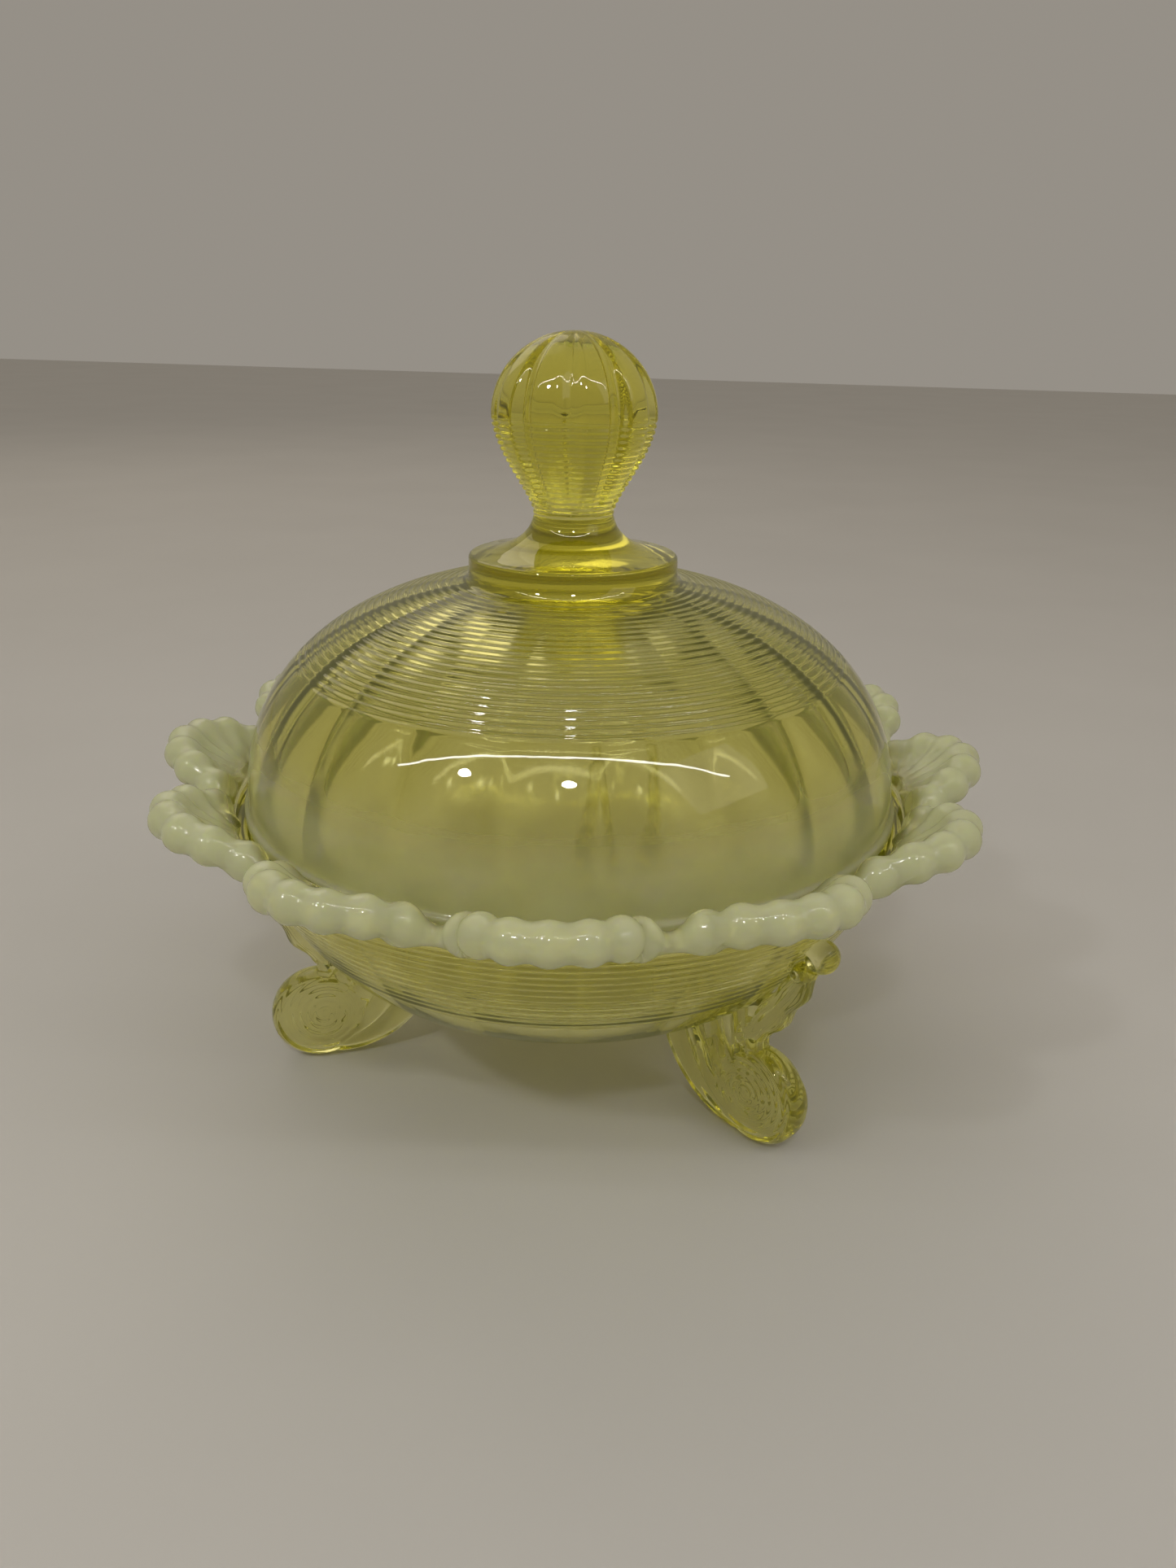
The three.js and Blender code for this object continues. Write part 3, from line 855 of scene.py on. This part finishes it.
def upper_scroll():
    spine = evenly(bezier((54.5, 23), (60.5, 28.5), (65.5, 37), (69.6, SEAT - 17)), 0.5)
    share = np.linspace(0, 1, len(spine))
    wave = 0.45 * np.sin(2 * np.pi * share * 3) * smooth_step(share, 0.1, 0.3)
    swell = np.sin(np.pi * np.clip(share * 0.8 + 0.2, 0, 1)) ** 0.7
    return tube(spine, 1.9 + 1.5 * swell + wave, 2.0 + 1.5 * swell, 12)


def curl(place, radius, half_depth):
    x, z = place
    turn = np.linspace(0.02, np.pi - 0.02, 22)[:, None]
    around = np.arange(36)[None, :] * 2 * np.pi / 36
    dimple = 0.28 * radius * np.exp(-(np.sin(turn) / 0.3) ** 2)
    out = radius * np.sin(turn)
    y = (half_depth - dimple) * np.cos(turn)
    ring = [x + out * np.cos(around), y + 0 * around, z + out * np.sin(around)]
    return np.stack(ring, axis=-1)


foot_shapes = {
    "volute": volute(), "fan": fan(), "upper_scroll": upper_scroll(),
    "curl": curl(CURL_PLACE, CURL_RADIUS, CURL_HALF),
    "small_curl": curl(SMALL_CURL_PLACE, SMALL_CURL_RADIUS, SMALL_CURL_HALF),
}
print("foot shapes:", {name: rings.shape[:2] for name, rings in foot_shapes.items()})

# %% Three feet, joined to the bowl
FEET = 3
SHARP_ANGLE = 50                 # degrees: steeper turns between faces stay crisp


def join_to(target, tool):
    """Boolean union, applied at once; the tool is deleted."""
    union = target.modifiers.new("melt", "BOOLEAN")
    union.operation = "UNION"
    union.solver = "MANIFOLD"
    union.object = tool
    graph = bpy.context.evaluated_depsgraph_get()
    joined = bpy.data.meshes.new_from_object(target.evaluated_get(graph))
    target.modifiers.clear()
    target.data = joined
    bpy.data.objects.remove(tool)


def to_foot(rings, foot):
    """Turns a shape from the plane y = 0, x outward, to the foot's place."""
    angle = 2 * math.pi * (foot + 0.5) / FEET - math.pi / 2
    x, y, z = np.moveaxis(rings, -1, 0)
    c, s = math.cos(angle), math.sin(angle)
    return np.stack([x * c - y * s, x * s + y * c, z], axis=-1)


for foot in range(FEET):
    for name, rings in foot_shapes.items():
        join_to(dish, skin(name, to_foot(rings, foot), dish_glass))
dish.data.shade_smooth()
dish.data.set_sharp_from_angle(angle=math.radians(SHARP_ANGLE))
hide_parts("dish")
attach(dish, "dish")
print("dish:", len(dish.data.vertices), "points", len(dish.data.polygons), "faces")
